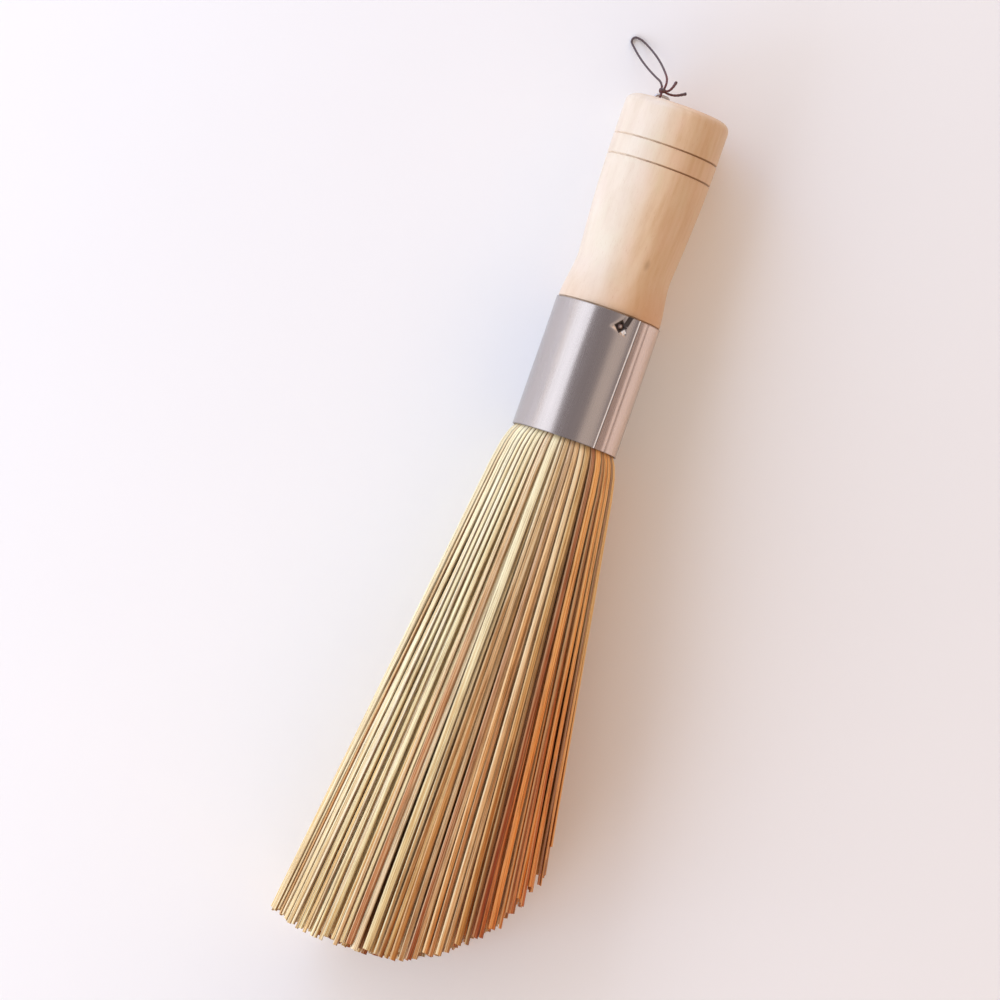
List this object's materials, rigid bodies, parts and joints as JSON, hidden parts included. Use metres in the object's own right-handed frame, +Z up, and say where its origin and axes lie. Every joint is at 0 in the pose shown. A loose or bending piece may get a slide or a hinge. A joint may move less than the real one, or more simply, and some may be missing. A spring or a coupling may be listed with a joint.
{
  "type": "wok brush",
  "caption": "Wok brush lying on its side: split bamboo strips flare from a rolled steel ferrule on a short turned wooden handle with a small hanging cord.",
  "frame": {"origin": "on the table that the brush lies on, below the middle of its box, measured without the hanging cord", "axes": "+X along the brush towards the end of the handle, +Z up from the table, +Y towards the side with the longer strips; the brush's axis leans about 3 degrees because the bundle is thicker than the handle"},
  "size_m": [0.2879, 0.0726, 0.0574],
  "materials": {
    "turned_wood": "fine turned pale wood, unvarnished",
    "split_bamboo": "raw split bamboo, straw to orange brown",
    "wedge_wood": "raw wood",
    "ferrule_steel": "thin rolled stainless sheet, half bright",
    "tack_steel": "dull dark steel",
    "cord": "dark waxed string"
  },
  "bodies": {
    "root": {"handle": "turned_wood", "ferrule": "ferrule_steel", "ferrule_tack_front": "tack_steel", "ferrule_tack_back": "tack_steel", "cord_staple": "tack_steel", "cord_knot": "cord", "hanging_cord": "cord", "centre_wedge": "wedge_wood", "bamboo_strips_ring_1": "split_bamboo", "bamboo_strips_ring_2": "split_bamboo", "bamboo_strips_ring_3": "split_bamboo", "bamboo_strips_ring_4": "split_bamboo", "bamboo_strips_ring_5": "split_bamboo", "bamboo_strips_ring_6": "split_bamboo", "bamboo_strips_ring_7": "split_bamboo", "bamboo_strips_ring_8": "split_bamboo"}
  },
  "joints": []
}
